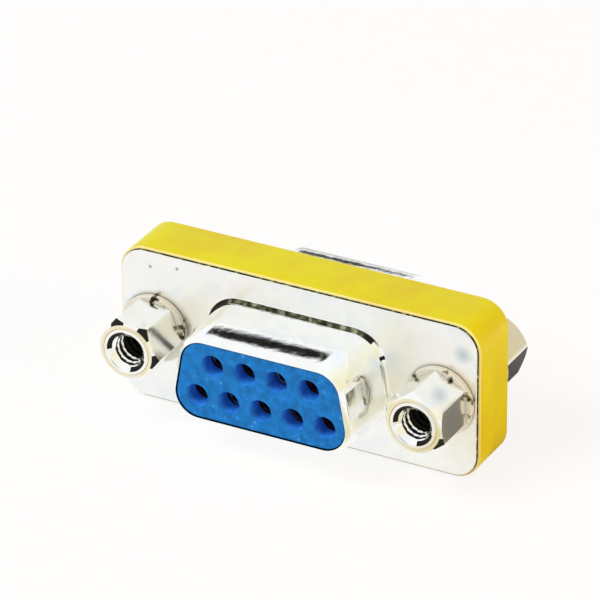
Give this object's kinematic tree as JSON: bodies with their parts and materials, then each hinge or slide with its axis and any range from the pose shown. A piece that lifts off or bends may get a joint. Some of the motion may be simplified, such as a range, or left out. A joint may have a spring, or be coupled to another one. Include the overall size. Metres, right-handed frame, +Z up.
{
  "type": "d-sub gender changer",
  "caption": "Slimline adapter with a D-shaped socket connector on both faces, a flat frame round them and hexagonal threaded standoffs at its sides.",
  "frame": {"origin": "on the surface it stands on, below the middle of the body", "axes": "+X along the length, to the right seen from the front; the front face looks towards -Y; +Z up"},
  "size_m": [0.0314, 0.0174, 0.0133],
  "materials": {
    "yellow_plastic": "satin",
    "plated_sheet": "polished",
    "blue_plastic": "satin",
    "contact_metal": "satin",
    "plated_standoff": "polished",
    "plated_washer": "satin",
    "insert_brass": "satin"
  },
  "bodies": {
    "root": {"body_frame": "yellow_plastic", "front_shell": "plated_sheet", "rear_shell": "plated_sheet", "front_insulator": "blue_plastic", "rear_insulator": "blue_plastic", "contact_1": "contact_metal", "contact_2": "contact_metal", "contact_3": "contact_metal", "contact_4": "contact_metal", "contact_5": "contact_metal", "contact_6": "contact_metal", "contact_7": "contact_metal", "contact_8": "contact_metal", "contact_9": "contact_metal", "front_left_standoff": "plated_standoff", "front_right_standoff": "plated_standoff", "rear_left_standoff": "plated_standoff", "rear_right_standoff": "plated_standoff", "front_left_lock_washer": "plated_washer", "front_right_lock_washer": "plated_washer", "rear_left_lock_washer": "plated_washer", "rear_right_lock_washer": "plated_washer", "left_threaded_insert": "insert_brass", "right_threaded_insert": "insert_brass"}
  },
  "joints": []
}
